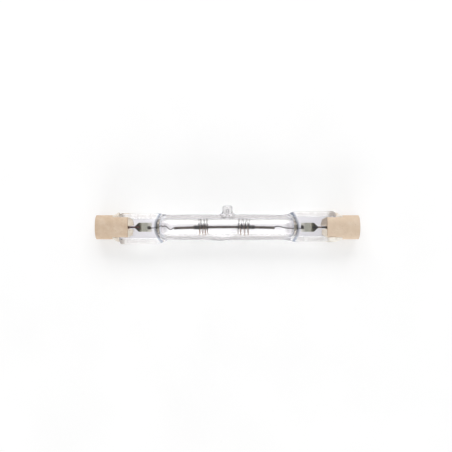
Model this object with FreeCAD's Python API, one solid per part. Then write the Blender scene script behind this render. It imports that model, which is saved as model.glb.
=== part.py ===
import FreeCAD, Part
import math
import os

# A double-ended linear halogen bulb of the 78 mm class, made up as the real lamp is:
# a clear fused-silica tube pressed flat at both ends over molybdenum foils, a coiled
# tungsten filament held on the axis by two wound wire supports, and a slotted ceramic
# cap with a recessed contact button cemented on each end.
#
# Frame, in millimetres: X runs along the lamp axis, Y points to the sealed-off exhaust
# tip, Z is normal to the flat of the pinch seals. The origin is on the lamp axis,
# midway between the two contacts.

V = FreeCAD.Vector
ORIGIN = V(0, 0, 0)
AXIS = V(1, 0, 0)

# Lamp
overall_length = 78.3

# Ceramic caps
cap_diameter = 7.2
cap_length = 9.6
cap_end_chamfer = 0.35
tongue_end_chamfer = 0.2
slot_height = 4.0
slot_depth = 4.6
recess_diameter = 4.2
recess_depth = 1.7
recess_chamfer = 0.25
lead_hole_diameter = 1.1

# Contact buttons
contact_diameter = 3.4
contact_thickness = 0.8
contact_rim_chamfer = 0.12
contact_clearance = 0.02
lead_socket_depth = 0.4

# Quartz tube
tube_diameter = 7.7
tube_wall = 1.2
cavity_end_round = 1.9
end_wall = 0.2
shoulder_round = 1.6
foot_round = 0.8
foot_burial = 0.3

# Pinch seals
pinch_length = 11.2
pinch_width = 9.3
pinch_corner_round = 1.0
web_thickness = 2.4
rail_width = 1.7
rail_height = 3.3
rail_draft = 0.4
rail_edge_chamfer = 0.45
flare_length = 4.6
flare_burial = 0.35

# Exhaust tip
tip_diameter = 3.0
tip_height = 2.75
tip_end_round = 0.7
tip_foot_round = 0.9
exhaust_hole_diameter = 1.2
exhaust_hole_end_diameter = 0.5
exhaust_hole_rise = 1.6

# Filament
coil_diameter = 0.7
filament_wire = 0.18
leg_lap = 0.3
leg_bend = 0.45
leg_bend_share = 0.45

# Filament supports
support_span = 18.0
support_wire = 0.16
grip_turns = 7
grip_clearance = 0.02
grip_points_per_turn = 9
loop_turns = 3.25
loop_clearance = 0.03
loop_points_per_turn = 16
rise_turns = 0.75

# Sealing foils and outer leads
foil_width = 2.7
foil_thickness = 0.06
foil_length = 5.0
foil_taper = 1.3
foil_tip_width = 0.6
lead_diameter = 0.5
lead_lap = 1.6
leg_foil_lap = 1.0

# Cement
cement_bed = 1.95
cement_squeeze = 0.9
cement_squeeze_width = 4.6
cement_side_lap = 0.35
cement_crown = 2.85
cement_collar = 0.3

# Small rounds of turned pieces are drawn as a few flats, and fine wires with six sides
ROUND_FLATS = 3
WIRE_SIDES = 6

# Slack allowed when an edge is found by its place
edge_slack = 1e-3

# What differs between the two ends: the side of the lamp, how far the press set the
# pinch off the axis, how far the foil lies beyond the cavity, the winding of the
# support, the room that the filament's leg has between coil and pinch, and the leg's
# bends, each as a share of that room and a height.
ENDS = {
    "left": {
        "side": -1,
        "pinch_shift": -0.45,
        "foil_inset": 1.6,
        "grip_length": 4.0,
        "loop_pitch": 0.85,
        "leg_room": 5.05,
        "leg_bends": ((0.2, -0.6), (0.55, 0.1), (0.75, 0.3)),
        "leg_entry": -0.2,
    },
    "right": {
        "side": 1,
        "pinch_shift": 0.2,
        "foil_inset": 0.9,
        "grip_length": 4.9,
        "loop_pitch": 1.08,
        "leg_room": 6.95,
        "leg_bends": ((0.17, 0.3), (0.44, -0.16), (0.74, -0.35)),
        "leg_entry": -0.3,
    },
}

# Worked-out places, measured from the middle of the lamp
cap_end = overall_length / 2
cap_inner = cap_end - cap_length
slot_floor = cap_inner + slot_depth
contact_face = cap_end - recess_depth
contact_back = contact_face - contact_thickness
pinch_end = slot_floor - cement_bed
cavity_end = pinch_end - pinch_length
wall_plane = cavity_end + end_wall
coil_start = ENDS["left"]["leg_room"] - cavity_end
coil_stop = cavity_end - ENDS["right"]["leg_room"]
coil_middle = (coil_start + coil_stop) / 2
cap_radius = cap_diameter / 2
tube_radius = tube_diameter / 2
bore_radius = tube_radius - tube_wall
web_half = web_thickness / 2
lead_radius = lead_diameter / 2
foil_top = -lead_radius
leg_level = foil_top + filament_wire / 2 * math.cos(math.pi / WIRE_SIDES)
coil_mean_radius = (coil_diameter - filament_wire) / 2
chord_half = math.sqrt(cap_radius**2 - (slot_height / 2) ** 2)


# Small helpers


def line(start, end):
    return Part.LineSegment(start, end).toShape()


def closed(points):
    """Closed wire through points."""
    return Part.makePolygon(points + points[:1])


def turned(profile, axis=AXIS):
    """Solid turned about an axis through the origin from the points of its half section."""
    return Part.Face(closed(profile)).revolve(ORIGIN, axis, 360)


def quarter_round(start, end, centre):
    """Points of a quarter round from start to end about centre."""
    points = []
    for step in range(ROUND_FLATS + 1):
        angle = math.pi / 2 * step / ROUND_FLATS
        points.append(centre + (start - centre) * math.cos(angle) + (end - centre) * math.sin(angle))
    return points


def slab(face, height):
    """Face drawn in XY made a solid of the given height, half above and half below."""
    solid = face.extrude(V(0, 0, height))
    solid.translate(V(0, 0, -height / 2))
    return solid


def round_bar(diameter, start, end):
    """Cylinder along the lamp axis from start to end."""
    return Part.makeCylinder(diameter / 2, end - start, V(start, 0, 0), AXIS)


def at_end(shape, side):
    """Takes a shape built for the right end to the end that side names."""
    if side > 0:
        return shape
    return shape.mirror(ORIGIN, AXIS)


def bent(points, bend):
    """Replaces each corner of a route by the start, middle and end of a bend of that radius."""
    route = [points[0]]
    for before, corner, after in zip(points, points[1:], points[2:]):
        back = (before - corner).normalize()
        ahead = (after - corner).normalize()
        half_turn = (math.pi - back.getAngle(ahead)) / 2
        shorter = min((before - corner).Length, (after - corner).Length)
        setback = min(bend * math.tan(half_turn), leg_bend_share * shorter)
        radius = setback / math.tan(half_turn)
        inward = (back + ahead).normalize()
        route.append(corner + back * setback)
        route.append(corner + inward * (radius / math.cos(half_turn) - radius))
        route.append(corner + ahead * setback)
    return route + [points[-1]]


def wire_along(points, diameter):
    """Fine wire along a route: straight prisms, mitred where they meet, flat side up."""
    headings = [(b - a).normalize() for a, b in zip(points, points[1:])]
    side = V(0, 0, 1).cross(headings[0]).normalize()
    up = headings[0].cross(side)
    ring = []
    for corner in range(WIRE_SIDES):
        angle = 2 * math.pi * corner / WIRE_SIDES
        ring.append(points[0] + (side * math.cos(angle) + up * math.sin(angle)) * (diameter / 2))
    faces = [Part.Face(closed(ring))]
    for place, (heading, onward) in enumerate(zip(headings, headings[1:] + headings[-1:]), 1):
        mitre = heading + onward
        reach = heading.dot(mitre)
        moved = [p + heading * ((points[place] - p).dot(mitre) / reach) for p in ring]
        for corner in range(WIRE_SIDES):
            beside = (corner + 1) % WIRE_SIDES
            faces.append(Part.Face(closed([ring[corner], ring[beside], moved[beside], moved[corner]])))
        ring = moved
    faces.append(Part.Face(closed(ring)))
    return Part.Solid(Part.Shell(faces))


# Ceramic caps and their contacts


def make_cap():
    """Slotted cap: a turned blank with a stepped bore, sawn across to take the pinch."""
    recess = recess_diameter / 2
    seat = contact_diameter / 2 + contact_clearance
    hole = lead_hole_diameter / 2
    profile = [
        V(cap_inner, hole, 0),
        V(cap_inner, cap_radius - tongue_end_chamfer, 0),
        V(cap_inner + tongue_end_chamfer, cap_radius, 0),
        V(cap_end - cap_end_chamfer, cap_radius, 0),
        V(cap_end, cap_radius - cap_end_chamfer, 0),
        V(cap_end, recess + recess_chamfer, 0),
        V(cap_end - recess_chamfer, recess, 0),
        V(contact_face, recess, 0),
        V(contact_face, seat, 0),
        V(contact_back, seat, 0),
        V(contact_back, hole, 0),
    ]
    blank = turned(profile)
    slot = Part.makeBox(
        slot_depth,
        cap_diameter,
        slot_height,
        V(cap_inner, -cap_radius, -slot_height / 2),
    )
    return blank.cut(slot)


def make_contact():
    """Contact button with a broken rim and a blind socket for the lead."""
    radius = contact_diameter / 2
    socket = contact_back + lead_socket_depth
    profile = [
        V(contact_back, lead_radius, 0),
        V(contact_back, radius, 0),
        V(contact_face - contact_rim_chamfer, radius, 0),
        V(contact_face, radius - contact_rim_chamfer, 0),
        V(contact_face, 0, 0),
        V(socket, 0, 0),
        V(socket, lead_radius, 0),
    ]
    return turned(profile)


# Seal: foil and outer lead


def make_foil(end):
    """Sealing foil with a tapered outer end, lying under the wires that are welded to it."""
    start = cavity_end + end["foil_inset"]
    stop = start + foil_length
    taper = stop - foil_taper
    half = foil_width / 2
    tip = foil_tip_width / 2
    outline = [
        V(start, -half, foil_top),
        V(taper, -half, foil_top),
        V(stop, -tip, foil_top),
        V(stop, tip, foil_top),
        V(taper, half, foil_top),
        V(start, half, foil_top),
    ]
    return Part.Face(closed(outline)).extrude(V(0, 0, -foil_thickness))


def make_lead(end):
    """Outer lead, from its weld on the foil to the socket in the contact."""
    start = cavity_end + end["foil_inset"] + foil_length - lead_lap
    return round_bar(lead_diameter, start, contact_back + lead_socket_depth)


# Filament and its supports


def make_leg(end):
    """Leg from the wall of the coil, in its bends, to the weld on the foil."""
    span = end["leg_room"]
    coil_end = cavity_end - span
    weld = cavity_end + end["foil_inset"] + leg_foil_lap
    start = math.sqrt(max(coil_mean_radius**2 - leg_level**2, 0))
    points = [V(coil_end - leg_lap, start, leg_level), V(coil_end, start, leg_level)]
    points += [V(coil_end + share * span, height, leg_level) for share, height in end["leg_bends"]]
    points.append(V(cavity_end, end["leg_entry"], leg_level))
    points.append(V(weld, end["leg_entry"], leg_level))
    return at_end(wire_along(bent(points, leg_bend), filament_wire), end["side"])


def make_filament():
    """Coil and legs of one wire; the coil is the closed sleeve that its fine turns fill."""
    sleeve = round_bar(coil_diameter, coil_start, coil_stop)
    sleeve = sleeve.cut(round_bar(coil_diameter - 2 * filament_wire, coil_start, coil_stop))
    return sleeve.fuse([make_leg(end) for end in ENDS.values()])


def on_winding(place, radius, turn):
    angle = 2 * math.pi * turn
    return V(place, radius * math.cos(angle), radius * math.sin(angle))


def make_support(end):
    """Grips the coil from the outer end inwards, rises to the bore and loops back outwards."""
    grip = coil_diameter / 2 + grip_clearance + support_wire / 2
    grip = grip / math.cos(math.pi / grip_points_per_turn)
    loop = bore_radius - loop_clearance - support_wire / 2
    outer = support_span / 2 + coil_middle * end["side"]
    inner = outer - end["grip_length"]
    points = []
    for step in range(grip_turns * grip_points_per_turn):
        turn = step / grip_points_per_turn
        points.append(on_winding(outer + (inner - outer) * turn / grip_turns, grip, turn))
    for step in range(round((rise_turns + loop_turns) * loop_points_per_turn) + 1):
        turn = step / loop_points_per_turn
        risen = min(turn / rise_turns, 1)
        radius = grip + (loop - grip) * (1 - math.cos(math.pi * risen)) / 2
        points.append(on_winding(inner + end["loop_pitch"] * max(turn - rise_turns, 0), radius, turn))
    return at_end(wire_along(points, support_wire), end["side"])


# Quartz envelope


def make_tube_half():
    """Right half of the tube: a test-tube end with a rounded foot that runs into the web."""
    shoulder = wall_plane - shoulder_round
    knee = tube_radius - shoulder_round
    foot = web_half - foot_burial
    toe = wall_plane + foot_round
    heel = foot + foot_round
    profile = [ORIGIN, V(0, tube_radius, 0)]
    profile += quarter_round(V(shoulder, tube_radius, 0), V(wall_plane, knee, 0), V(shoulder, knee, 0))
    profile += quarter_round(V(wall_plane, heel, 0), V(toe, foot, 0), V(toe, heel, 0))
    return turned(profile + [V(toe, 0, 0)])


def make_cavity_half():
    """Right half of the gas space, closed by a rounded end."""
    start = cavity_end - cavity_end_round
    flat = bore_radius - cavity_end_round
    profile = [ORIGIN, V(0, bore_radius, 0)]
    profile += quarter_round(V(start, bore_radius, 0), V(cavity_end, flat, 0), V(start, flat, 0))
    return turned(profile + [V(cavity_end, 0, 0)])


def flank(edge_height, hand):
    """One side of the pinch's outline: an S bend out of the tube, a straight and a round corner."""
    start = V(wall_plane - flare_length, hand * (tube_radius - flare_burial), 0)
    stop = V(wall_plane, edge_height, 0)
    rise = stop.y - start.y
    radius = (flare_length**2 + rise**2) / (4 * abs(rise))
    lean = math.asin(flare_length / (2 * radius)) / 2
    along = radius * math.sin(lean)
    drop = math.copysign(radius * (1 - math.cos(lean)), rise)
    halfway = (start + stop) / 2
    corner = V(pinch_end - pinch_corner_round, edge_height, 0)
    nose = V(pinch_end, edge_height - hand * pinch_corner_round, 0)
    bulge = pinch_corner_round * math.sqrt(0.5)
    return [
        Part.Arc(start, start + V(along, drop, 0), halfway).toShape(),
        Part.Arc(halfway, stop - V(along, drop, 0), stop).toShape(),
        line(stop, corner),
        Part.Arc(corner, V(corner.x + bulge, nose.y + hand * bulge, 0), nose).toShape(),
    ]


def make_pinch(end):
    """Pressed seal for the right end: a plate with a pocket in both faces between two rails."""
    shift = end["pinch_shift"]
    upper = flank(shift + pinch_width / 2, 1)
    lower = flank(shift - pinch_width / 2, -1)
    root = line(upper[0].Vertexes[0].Point, lower[0].Vertexes[0].Point)
    nose = line(upper[-1].Vertexes[-1].Point, lower[-1].Vertexes[-1].Point)
    outline = Part.Wire(Part.__sortEdges__(upper + [nose] + lower + [root]))
    plate = slab(Part.Face(outline), rail_height)
    rims = []
    for edge in plate.Edges:
        box = edge.BoundBox
        if box.ZLength < edge_slack and box.XMax > wall_plane - flare_length + edge_slack:
            rims.append(edge)
    plate = plate.makeChamfer(rail_edge_chamfer, rims)
    floor = pinch_width / 2 - rail_width
    brim = floor + rail_draft
    rail_top = rail_height / 2
    pockets = []
    for hand in (1, -1):
        section = [
            V(0, shift - brim, hand * rail_top),
            V(0, shift - floor, hand * web_half),
            V(0, shift + floor, hand * web_half),
            V(0, shift + brim, hand * rail_top),
        ]
        pockets.append(Part.Face(closed(section)).extrude(V(cap_end, 0, 0)))
    return plate.cut(pockets)


def make_tip():
    """Sealed-off exhaust stub, from inside the tube wall outwards."""
    radius = tip_diameter / 2
    crown = tube_radius + tip_height
    root = (tube_radius + bore_radius) / 2
    edge = radius - tip_end_round
    brow = crown - tip_end_round
    profile = [V(0, root, 0), V(radius, root, 0)]
    profile += quarter_round(V(radius, brow, 0), V(edge, crown, 0), V(edge, brow, 0))
    return turned(profile + [V(0, crown, 0)], V(0, 1, 0))


def make_exhaust_hole():
    """Tapered passage left in the stub, open to the gas space."""
    return Part.makeCone(
        exhaust_hole_diameter / 2,
        exhaust_hole_end_diameter / 2,
        bore_radius / 2 + tube_wall + exhaust_hole_rise,
        V(0, bore_radius / 2, 0),
        V(0, 1, 0),
    )


def make_tube_with_tip():
    """Both tube halves and the stub, with the stub's foot rounded into the tube."""
    half = make_tube_half()
    tube = half.fuse(half.mirror(ORIGIN, AXIS)).removeSplitter()
    body = tube.fuse(make_tip()).removeSplitter()
    tip_radius = tip_diameter / 2
    foot_edges = []
    for edge in body.Edges:
        box = edge.BoundBox
        across = max(abs(box.XMax - tip_radius), abs(box.ZMax - tip_radius))
        if across < edge_slack and box.YMin > bore_radius and box.YMax < tube_radius + edge_slack:
            foot_edges.append(edge)
    return body.makeFillet(tip_foot_round, foot_edges)


def make_envelope(metal):
    """The glass, pressed and fused tight round the metal that is sealed into it."""
    pinches = [at_end(make_pinch(end), end["side"]) for end in ENDS.values()]
    glass = make_tube_with_tip().fuse(pinches).removeSplitter()
    half = make_cavity_half()
    cavity = half.fuse(half.mirror(ORIGIN, AXIS)).removeSplitter()
    return glass.cut([cavity.fuse(make_exhaust_hole())] + metal)


# Cement


def make_cement(end):
    """Cement that beds the pinch in the slot, rounded off beside the cap and run out in front."""
    side = pinch_width / 2 - cement_side_lap
    front = cap_inner - cement_squeeze
    half_outline = [
        V(front, cement_squeeze_width / 2, 0),
        V(cap_inner, chord_half, 0),
        V(pinch_end - pinch_corner_round - rail_width, chord_half, 0),
        V(pinch_end - pinch_corner_round, side, 0),
        V(pinch_end + cement_collar, side, 0),
        V(slot_floor, chord_half + cement_side_lap, 0),
    ]
    mirrored = [V(p.x, -p.y, 0) for p in reversed(half_outline)]
    plan = slab(Part.Face(closed(half_outline + mirrored)), slot_height)
    oval = Part.Ellipse(V(0, pinch_width / 2, 0), V(0, 0, cement_crown), ORIGIN)
    crown = Part.Face(Part.Wire(oval.toShape())).extrude(V(slot_floor, 0, 0))
    top = slot_height / 2
    half_ramp = [V(front, 0, web_half), V(cap_inner, 0, top), V(slot_floor, 0, top)]
    mirrored = [V(p.x, 0, -p.z) for p in reversed(half_ramp)]
    ramp = Part.Face(closed(half_ramp + mirrored)).extrude(V(0, 2 * pinch_width, 0))
    ramp.translate(V(0, -pinch_width, 0))
    return plan.common(crown).common(ramp).cut([make_pinch(end), make_lead(end)])


# Assembly


def build():
    """All pieces of the lamp in place, by node name."""
    nodes = {"filament": make_filament()}
    for name, end in ENDS.items():
        side = end["side"]
        nodes[name + "_cap"] = at_end(make_cap(), side)
        nodes[name + "_contact"] = at_end(make_contact(), side)
        nodes[name + "_cement"] = at_end(make_cement(end), side)
        nodes[name + "_lead"] = at_end(make_lead(end), side)
        nodes[name + "_foil"] = at_end(make_foil(end), side)
        nodes[name + "_filament_support"] = make_support(end)
    sealed = ("filament", "left_lead", "right_lead", "left_foil", "right_foil")
    nodes["quartz_envelope"] = make_envelope([nodes[name] for name in sealed])
    return nodes


def main():
    os.makedirs("parts", exist_ok=True)
    for name, shape in build().items():
        solids = len(shape.Solids)
        print(f"{name}: {solids} solid, valid {shape.isValid()}, {shape.Volume:.3f} mm3")
        shape.exportStep(os.path.join("parts", name + ".step"))


main()
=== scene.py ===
import math

import bmesh
import bpy
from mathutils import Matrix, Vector, noise


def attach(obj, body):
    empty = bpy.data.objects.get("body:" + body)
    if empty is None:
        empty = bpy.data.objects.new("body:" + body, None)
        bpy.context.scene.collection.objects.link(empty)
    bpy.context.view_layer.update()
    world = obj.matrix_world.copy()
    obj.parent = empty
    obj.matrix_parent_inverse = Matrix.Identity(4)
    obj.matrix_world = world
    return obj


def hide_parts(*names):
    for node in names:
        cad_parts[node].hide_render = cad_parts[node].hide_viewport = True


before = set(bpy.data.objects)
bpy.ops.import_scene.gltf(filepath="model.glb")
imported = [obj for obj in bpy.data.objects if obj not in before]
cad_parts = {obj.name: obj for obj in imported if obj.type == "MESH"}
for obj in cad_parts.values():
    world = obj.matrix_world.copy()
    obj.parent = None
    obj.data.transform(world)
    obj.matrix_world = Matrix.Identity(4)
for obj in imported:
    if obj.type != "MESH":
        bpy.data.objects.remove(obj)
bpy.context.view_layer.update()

# A double-ended halogen lamp lying on a pale table, seen straight from above.
# X runs along the lamp, Y to the sealed-off exhaust tip, Z up. Lengths in the tables
# below are millimetres; meshes are written in metres.

MM = 0.001
WHITE = (1.0, 1.0, 1.0)

# Quartz tube and pinch seals
TUBE_RADIUS = 3.85
BORE_RADIUS = 2.65
WALL_PLANE = 21.2
SHOULDER_FOOT = 21.75
SHOULDER_BOW = 0.085
SHOULDER_FALL = 3.2
CAVITY_TAPER = 18.9
CAVITY_END = 21.0
PINCH_END = 32.2
PINCH_HALF = 4.65
CORNER_ROUND = 1.0
NOSE_ROUND = 0.6
WEB_HALF = 1.2
RAIL_HALF = 1.65
RAIL_ROUND = 0.8
RAIL_BRIM = 1.3
RAIL_FLOOR = 1.7
FLARE_START = 16.6
FLARE_ROOT = 3.5
TUBE_BLEND = 0.3
BORE_SIDES = 96
WAVER = 0.003
SAG_DEPTH = 0.25
SAG_PLACE = -1.5
SAG_REACH = 3.2

# Looks of the quartz: the pressed rim and crease of the shoulder, painted as a bluish reflection and a dark
# shade, and light that stays trapped in the wall
RIM_LINE = 21.58
CREASE_LINE = 21.08
RIM_BOW = 0.1
EDGE_LEAD = 0.07
TRAPPED_DEPTH = 4.0
STRAY_ROUGHNESS = 0.85

# Exhaust tip
TIP_RADIUS = 1.5
TIP_WINDOW = 27
TIP_PATCH = 3.2
TIP_LUMP = 0.07
TIP_FOOT = 2.95
TIP_NECK = 5.0
TIP_BROW = 5.82
TIP_ROUND = 0.7
TIP_TOP = 6.52
PASSAGE_RADIUS = 0.6
PASSAGE_END_RADIUS = 0.25
PASSAGE_TOP = 5.45
PASSAGE_WINDOW = 9
PASSAGE_PATCH = 1.5
PASSAGE_FOOT = 0.9
PASSAGE_NECK = 3.0

# Caps
CAP_RADIUS = 3.6
CAP_END = 39.15
CAP_INNER = 29.55
SLOT_FLOOR = 34.15
SLOT_HALF = 2.0
CAP_EDGE_ROUND = 0.2
WORN_EDGE = 0.14
CAP_RINGS = (35.8, 37.4)
RECESS_RADIUS = 2.1
RECESS_LIP = 0.25
SEAT_RADIUS = 1.72
LEAD_HOLE = 0.55
CONTACT_FACE = 37.45
CONTACT_BACK = 36.65
CONTACT_RADIUS = 1.7
CONTACT_RIM = 0.16
CONTACT_CROWN = 0.04
CONTACT_DENT = 0.05
CONTACT_BEVEL = 0.05
CONTACT_SIDES = 72

# Cement: the bead run out in front of the cap, parted where the lead shows, and the bare rails beside it
BEAD_LENGTH = 0.9
BEAD_RUN = 0.8
BEAD_PARTING = (27.5, 30.4, -0.6, 0.45)
BARE_RUN = (28.5, 32.3)
BARE_LINE = 2.95
DRIP_CENTRE = (31.1, -3.5, 1.85)
DRIP_RADII = (1.4, 0.8, 0.75)
CEMENT_VOXEL = 0.11
CEMENT_SWELL = 0.05
CEMENT_LUMPS = ((0.09, 0.8), (0.05, 2.3))

# Filament, supports, foils and leads
COIL_START = -15.95
COIL_STOP = 14.05
COIL_MEAN = 0.305
FILAMENT_WIRE = 0.13
COIL_TURNS = 90.0
COIL_POINTS_PER_TURN = 14
COIL_HIGH_POINT = (1.0, 0.07)
COIL_BOW = 0.0013
LEG_LEVEL = -0.172
LEG_STEP = 0.12
WIRE_SIDES = 8
SUPPORT_WIRE = 0.09
GRIP_RADIUS = 0.53
GRIP_TURNS = 20.0
KNOT_SWELL = 0.95
KNOT_BUNCH = 0.8
KNOTS = 3.5
RISE_TURNS = 0.75
LOOP_TURNS = 3.25
LOOP_RADIUS = 2.54
LOOP_UNEVENNESS = 0.5
SUPPORT_POINTS_PER_TURN = 24.0
LEAD_RADIUS = 0.25
FOIL_TOP = -0.25
FOIL_THICKNESS = 0.06
FOIL_LENGTH = 5.0
FOIL_HALF = 1.35
FOIL_TIP_HALF = 0.3
FOIL_TAPER = 1.3
FOIL_RIPPLE = 0.02
FOIL_SIDES = 40
LEAD_LAP = 1.6
LEAD_BEVEL = 0.06
LEAD_PRESS = 0.35
LEAD_SPREAD = 0.12
LEAD_SIDES = 20
SOCKET_DEPTH = 0.4

# Table and camera
TABLE_HALF = 1500.0
CAMERA_PLACE = (-0.445, 0.37, 250.0)
CAMERA_LENS = 66.65

# What differs between the two ends: the side of the lamp, how far the pinch was pressed off the axis and how
# much sooner it starts, the rim's line, the foil, its weld and the lead's tint, the support's grip and the
# pitch of its loops, the bends of the filament's leg, and how the cement set
ENDS = {
    "left": {
        "side": -1,
        "shift": -0.45,
        "early": 0.0,
        "rim_inset": 0.0,
        "rim_middle": 0.0,
        "foil_inset": 1.6,
        "weld": (0.8, -0.17),
        "lead_tint": (92, 50, 44),
        "grip": (-9.95, -5.95),
        "pitch": -0.85,
        "leg": (
            (-17.05, -0.72),
            (-18.3, 0.22),
            (-18.95, 0.35),
            (-20.3, 0.26),
            (-21.0, 0.0),
            (-22.0, -0.2),
            (-23.6, -0.2),
        ),
        "coil_end": COIL_START,
        "bare_rails": (1, -1),
        "drip": False,
    },
    "right": {
        "side": 1,
        "shift": 0.2,
        "early": 0.5,
        "rim_inset": 0.36,
        "rim_middle": -0.3,
        "foil_inset": 0.9,
        "weld": (0.35, 0.1),
        "lead_tint": (34, 30, 28),
        "grip": (8.05, 3.15),
        "pitch": 1.08,
        "leg": ((15.23, 0.3), (17.11, -0.16), (19.19, -0.35), (21.0, -0.3), (21.5, -0.3), (22.9, -0.3)),
        "coil_end": COIL_STOP,
        "bare_rails": (1,),
        "drip": True,
    },
}

root = "root"


# Meshes


def smooth_step(low, high, value):
    share = min(max((value - low) / (high - low), 0.0), 1.0)
    return share * share * (3 - 2 * share)


def soft_max(a, b, reach):
    """Larger of two lengths, with the crease between them rounded over a short reach."""
    near = max(reach - abs(a - b), 0.0) / reach
    return max(a, b) + near * near * reach / 4


def between(start, stop, count):
    return [start + (stop - start) * step / count for step in range(count + 1)]


def new_bmesh(points, faces):
    """Faces over points given in millimetres."""
    work = bmesh.new()
    corners = [work.verts.new((x * MM, y * MM, z * MM)) for x, y, z in points]
    for face in faces:
        work.faces.new([corners[index] for index in face])
    return work


def as_piece(name, work, material):
    """Smooth object at the origin from a working mesh."""
    mesh = bpy.data.meshes.new(name)
    work.to_mesh(mesh)
    work.free()
    mesh.polygons.foreach_set("use_smooth", [True] * len(mesh.polygons))
    mesh.materials.append(material)
    piece = bpy.data.objects.new(name, mesh)
    bpy.context.scene.collection.objects.link(piece)
    return piece


def stand_for(piece, node):
    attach(piece, root)
    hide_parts(node)
    return piece


def quarter_turn(count):
    """Sine and cosine at even steps of a quarter turn, first and last included."""
    return [(math.sin(angle), math.cos(angle)) for angle in between(0.0, math.pi / 2, count)]


def oval(x, width, height, count):
    """Ring of points round the lamp axis."""
    angles = [2 * math.pi * step / count for step in range(count)]
    return [(x, width * math.cos(angle), height * math.sin(angle)) for angle in angles]


def add_ring(points, ring):
    """Adds the points of a ring to a list, and gives their numbers in it."""
    points += ring
    return list(range(len(points) - len(ring), len(points)))


def fan(ring, pole):
    """Faces from a closed ring to one point."""
    return [(first, second, pole) for first, second in zip(ring, ring[1:] + ring[:1])]


def skin(rings, places=None):
    """Faces over a run of closed rings of as many points each, all round or at some places only."""
    count = len(rings[0])
    faces = []
    for first, second in zip(rings, rings[1:]):
        for place in places or range(count):
            beside = (place + 1) % count
            faces.append((first[place], first[beside], second[beside], second[place]))
    return faces


def turned(profile, segments):
    """Points and faces of a shape turned about the lamp axis from (x, radius) pairs."""
    points = []
    rings = []
    for x, radius in profile:
        ring = oval(x, radius, radius, segments) if radius else [(x, 0.0, 0.0)]
        rings.append(add_ring(points, ring))
    faces = []
    for first, second in zip(rings, rings[1:]):
        if len(first) == 1 or len(second) == 1:
            pole, ring = (first, second) if len(first) == 1 else (second, first)
            faces += fan(ring, pole[0])
        else:
            faces += skin([first, second])
    return points, faces


# Node trees


def sums(operation):
    """Method that adds one sum to a node tree, of an amount alone or of it and another value."""

    def work(self, other=0.0):
        made = self.tree.nodes.new("ShaderNodeMath")
        made.operation = operation
        feed(self.tree, made.inputs[0], self)
        feed(self.tree, made.inputs[1], other)
        return Amount(self.tree, made.outputs[0])

    return work


class Amount:
    """Number worked out in a node tree; sums with it add nodes to that tree."""

    def __init__(self, tree, socket):
        self.tree = tree
        self.socket = socket

    __add__ = sums("ADD")
    __sub__ = sums("SUBTRACT")
    __mul__ = sums("MULTIPLY")
    __truediv__ = sums("DIVIDE")
    __abs__ = sums("ABSOLUTE")
    root = sums("SQRT")
    sine = sums("SINE")
    cosine = sums("COSINE")
    larger = sums("MAXIMUM")
    smaller = sums("MINIMUM")
    above = sums("GREATER_THAN")
    below = sums("LESS_THAN")

    def fade(self, low, high, at_low, at_high, curve="SMOOTHSTEP"):
        """One value up to low, another from high on, and a run from one to the other between."""
        made = node(self.tree, "ShaderNodeMapRange", {"interpolation_type": curve})
        for place, value in enumerate((self, low, high, at_low, at_high)):
            feed(self.tree, made.inputs[place], value)
        return Amount(self.tree, made.outputs[0])

    def rise(self, low, high):
        return self.fade(low, high, 0.0, 1.0)

    def fall(self, low, high):
        return self.fade(low, high, 1.0, 0.0)


def feed(tree, socket, value):
    """Links a socket to an amount, another socket or a node's first output, or sets it to a plain value."""
    if isinstance(value, Amount):
        value = value.socket
    elif isinstance(value, bpy.types.Node):
        value = value.outputs[0]
    if isinstance(value, bpy.types.NodeSocket):
        tree.links.new(value, socket)
    elif socket.type == "RGBA":
        socket.default_value = (*value, 1.0)
    else:
        socket.default_value = value


def node(tree, kind, settings=None, **values):
    """New node; settings are its own properties, values its sockets by name, linked or set."""
    made = tree.nodes.new(kind)
    for label, value in (settings or {}).items():
        setattr(made, label, value)
    for label, value in values.items():
        feed(tree, made.inputs[label.replace("_", " ")], value)
    return made


def amounts(tree, made):
    """What a node gives, by name."""
    return {socket.name: Amount(tree, socket) for socket in made.outputs}


def node_group(name, kind, sizes, outputs):
    """Empty node group with numbers as inputs; gives it, its inputs by name and its last node."""
    group = bpy.data.node_groups.new(name, kind)
    carried = "NodeSocketFloat"
    if kind == "GeometryNodeTree":
        carried = "NodeSocketGeometry"
        group.interface.new_socket("Geometry", in_out="INPUT", socket_type=carried)
    for label, size in sizes.items():
        socket = group.interface.new_socket(label, in_out="INPUT", socket_type="NodeSocketFloat")
        socket.default_value = size
    for label in outputs:
        group.interface.new_socket(label, in_out="OUTPUT", socket_type=carried)
    entry = amounts(group, group.nodes.new("NodeGroupInput"))
    return group, entry, group.nodes.new("NodeGroupOutput")


def mix_colour(tree, share, first, second, blend="MIX"):
    made = node(tree, "ShaderNodeMix", {"data_type": "RGBA", "blend_type": blend})
    for place, value in ((0, share), (6, first), (7, second)):
        feed(tree, made.inputs[place], value)
    return made.outputs[2]


def ramp(tree, share, stops):
    made = node(tree, "ShaderNodeValToRGB", Fac=share)
    elements = made.color_ramp.elements
    elements[0].position = stops[0][0]
    elements[1].position = stops[-1][0]
    for place, _ in stops[1:-1]:
        elements.new(place)
    for element, (_, colour) in zip(elements, stops):
        element.color = (*colour, 1.0)
    return made.outputs["Color"]


def mottle(tree, place, scale, detail, roughness=0.5):
    """Soft noise by place, most of it between 0.3 and 0.7."""
    made = node(tree, "ShaderNodeTexNoise", Vector=place, Scale=scale, Detail=detail, Roughness=roughness)
    return Amount(tree, made.outputs["Fac"])


def object_place(tree):
    return node(tree, "ShaderNodeTexCoord").outputs["Object"]


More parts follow.
